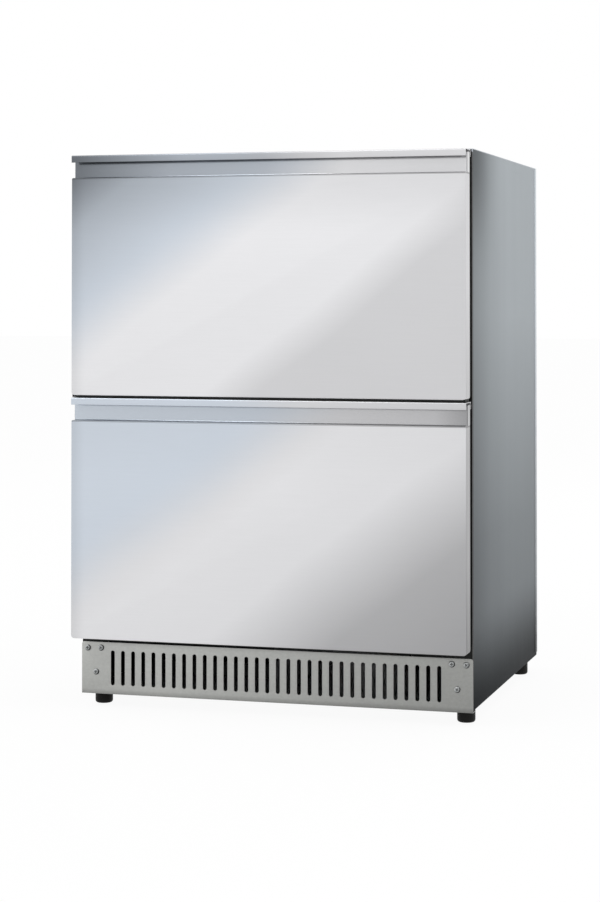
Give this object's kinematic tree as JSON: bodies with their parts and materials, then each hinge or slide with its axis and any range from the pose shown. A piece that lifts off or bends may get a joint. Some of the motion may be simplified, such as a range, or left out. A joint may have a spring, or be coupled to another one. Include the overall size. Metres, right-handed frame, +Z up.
{
  "type": "undercounter drawer refrigerator",
  "caption": "Undercounter refrigerator with stainless drawer fronts, full-width grip caps, telescopic slides, a slotted toe grille and levelling feet.",
  "frame": {"origin": "on the floor under the middle of the whole width and depth, at the soles of the feet", "axes": "+Z up from the feet to the top panel; -Y is the side of the drawer fronts, which slide out along -Y; +X is to the right of someone facing the drawers"},
  "size_m": [0.6, 0.576, 0.831],
  "materials": {
    "satin_front": "satin",
    "satin_side": "satin",
    "satin_grille": "satin",
    "galvanised": "satin",
    "screw_steel": "satin",
    "bin_steel": "satin",
    "slide_steel": "satin",
    "liner_plastic": "satin",
    "dark_plastic": "matte",
    "foam": "matte",
    "seal": "matte",
    "foot_plastic": "matte",
    "black_paint": "satin",
    "copper": "satin",
    "fins": "satin",
    "lamp": "gloss"
  },
  "bodies": {
    "cabinet": {"left_side_panel": "satin_side", "right_side_panel": "satin_side", "top_panel": "satin_side", "back_panel": "galvanised", "rear_vent_cover": "galvanised", "deck_panel": "galvanised", "base_pan": "galvanised", "front_frame": "dark_plastic", "centre_mullion": "satin_side", "liner": "liner_plastic", "foam_insulation": "foam", "toe_grille": "satin_grille", "case_screws": "screw_steel", "foot_nuts": "screw_steel", "compressor": "black_paint", "compressor_mounts": "seal", "terminal_box": "dark_plastic", "condenser": "black_paint", "condenser_shroud": "dark_plastic", "condenser_fan_motor": "black_paint", "filter_drier": "copper", "refrigerant_tubing": "copper", "condensate_tray": "dark_plastic", "drain_tube": "dark_plastic", "evaporator": "fins", "evaporator_cover": "liner_plastic", "evaporator_fan_motor": "black_paint", "control_housing": "liner_plastic", "interior_lamp": "lamp", "cord_gland": "dark_plastic", "duct_divider": "galvanised", "upper_cabinet_slides": "slide_steel", "lower_cabinet_slides": "slide_steel"},
    "upper_drawer": {"upper_drawer_slides": "slide_steel", "upper_carriage": "galvanised", "upper_bin": "bin_steel", "upper_inner_panel": "liner_plastic", "upper_gasket": "seal", "upper_front_foam": "foam", "upper_front_skin": "satin_front", "upper_handle_cap": "satin_front", "upper_carriage_screws": "screw_steel"},
    "lower_drawer": {"lower_drawer_slides": "slide_steel", "lower_carriage": "galvanised", "lower_bin": "bin_steel", "lower_inner_panel": "liner_plastic", "lower_gasket": "seal", "lower_front_foam": "foam", "lower_front_skin": "satin_front", "lower_handle_cap": "satin_front", "lower_carriage_screws": "screw_steel"},
    "upper_slide_middle": {"upper_middle_slides": "slide_steel"},
    "lower_slide_middle": {"lower_middle_slides": "slide_steel"},
    "condenser_fan": {"condenser_fan_blade": "dark_plastic"},
    "evaporator_fan": {"evaporator_fan_blade": "dark_plastic"},
    "control_knob": {"temperature_knob": "dark_plastic"},
    "foot_front_left": {"front_left_foot": "foot_plastic"},
    "foot_front_right": {"front_right_foot": "foot_plastic"},
    "foot_rear_left": {"rear_left_foot": "foot_plastic"},
    "foot_rear_right": {"rear_right_foot": "foot_plastic"}
  },
  "joints": [
    {"name": "upper_drawer_slide", "type": "slide", "parent": "cabinet", "child": "upper_drawer", "axis": [0, -1, 0], "range_m": [0, 0.375]},
    {"name": "upper_middle_slide", "type": "slide", "parent": "cabinet", "child": "upper_slide_middle", "axis": [0, -1, 0], "range_m": [0, 0.1875]},
    {"name": "lower_drawer_slide", "type": "slide", "parent": "cabinet", "child": "lower_drawer", "axis": [0, -1, 0], "range_m": [0, 0.375]},
    {"name": "lower_middle_slide", "type": "slide", "parent": "cabinet", "child": "lower_slide_middle", "axis": [0, -1, 0], "range_m": [0, 0.1875]},
    {"name": "condenser_fan_spin", "type": "hinge", "parent": "cabinet", "child": "condenser_fan", "pos_m": [-0.1652, 0.163, 0.1335], "axis": [0, 1, 0], "continuous": true},
    {"name": "evaporator_fan_spin", "type": "hinge", "parent": "cabinet", "child": "evaporator_fan", "pos_m": [0, 0.201, 0.69925], "axis": [0, 1, 0], "continuous": true},
    {"name": "temperature_knob_turn", "type": "hinge", "parent": "cabinet", "child": "control_knob", "pos_m": [0, -0.22, 0.77], "axis": [0, -1, 0], "range_deg": [-270, 0]},
    {"name": "front_left_foot_screw", "type": "slide", "parent": "cabinet", "child": "foot_front_left", "axis": [0, 0, -1], "range_m": [0, 0.02]},
    {"name": "front_right_foot_screw", "type": "slide", "parent": "cabinet", "child": "foot_front_right", "axis": [0, 0, -1], "range_m": [0, 0.02]},
    {"name": "rear_left_foot_screw", "type": "slide", "parent": "cabinet", "child": "foot_rear_left", "axis": [0, 0, -1], "range_m": [0, 0.02]},
    {"name": "rear_right_foot_screw", "type": "slide", "parent": "cabinet", "child": "foot_rear_right", "axis": [0, 0, -1], "range_m": [0, 0.02]}
  ],
  "couplings": [
    {"joint": "upper_middle_slide", "follows": "upper_drawer_slide", "ratio": 0.5},
    {"joint": "lower_middle_slide", "follows": "lower_drawer_slide", "ratio": 0.5}
  ]
}
